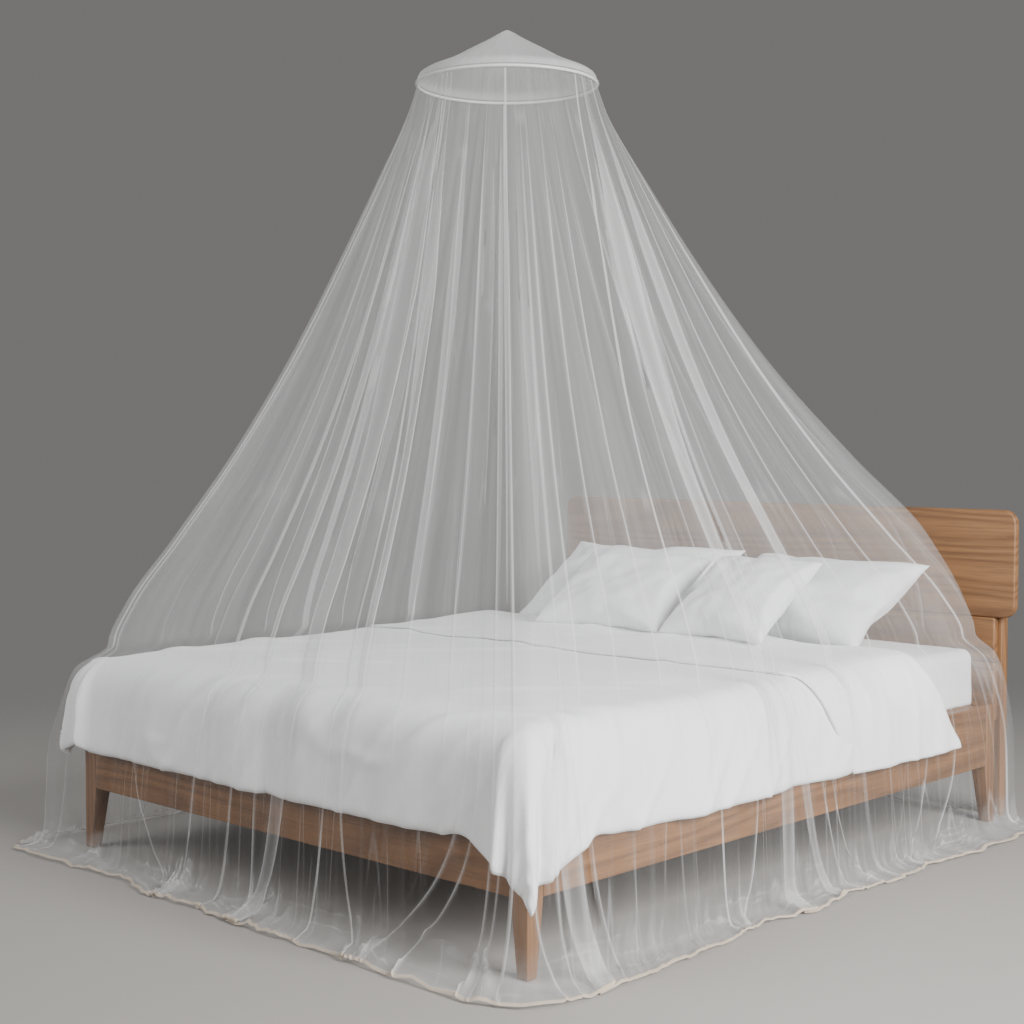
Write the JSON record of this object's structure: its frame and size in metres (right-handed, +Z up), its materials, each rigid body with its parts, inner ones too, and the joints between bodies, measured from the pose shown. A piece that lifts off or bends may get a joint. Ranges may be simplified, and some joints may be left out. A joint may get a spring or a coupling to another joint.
{
  "type": "mosquito net canopy over a double bed",
  "caption": "Sheer white mosquito net canopy with a cone crown and a hooped ring, its long skirt spreading in soft folds over a made double wooden bed and lying on the floor.",
  "frame": {"origin": "the apex of the crown, the point by which the net hangs from the ceiling", "axes": "+Z up, +Y towards the head of the bed, +X across the bed towards its long side that faces the viewer"},
  "size_m": [2.0752, 2.3794, 2.373],
  "materials": {
    "net": "sheer, matt",
    "rod": "satin",
    "oak": "oiled, satin",
    "linen": "matt",
    "cotton": "matt"
  },
  "bodies": {
    "root": {"crown": "net", "hoop_casing": "net", "hoop": "rod", "skirt_panel_1": "net", "skirt_panel_2": "net", "skirt_panel_3": "net", "skirt_panel_4": "net", "skirt_panel_5": "net", "skirt_panel_6": "net", "skirt_panel_7": "net", "skirt_panel_8": "net", "rail_near": "oak", "rail_far": "oak", "rail_foot": "oak", "rail_head": "oak", "leg_near_foot": "oak", "leg_near_head": "oak", "leg_far_foot": "oak", "leg_far_head": "oak", "slatted_base": "oak", "headboard_upper": "oak", "headboard_middle": "oak", "headboard_lower": "oak", "headboard_post_near": "oak", "headboard_post_far": "oak", "mattress": "cotton", "duvet": "linen", "pillow_back_far": "linen", "pillow_back_near": "linen", "pillow_front_far": "linen", "pillow_front_near": "linen"}
  },
  "joints": []
}
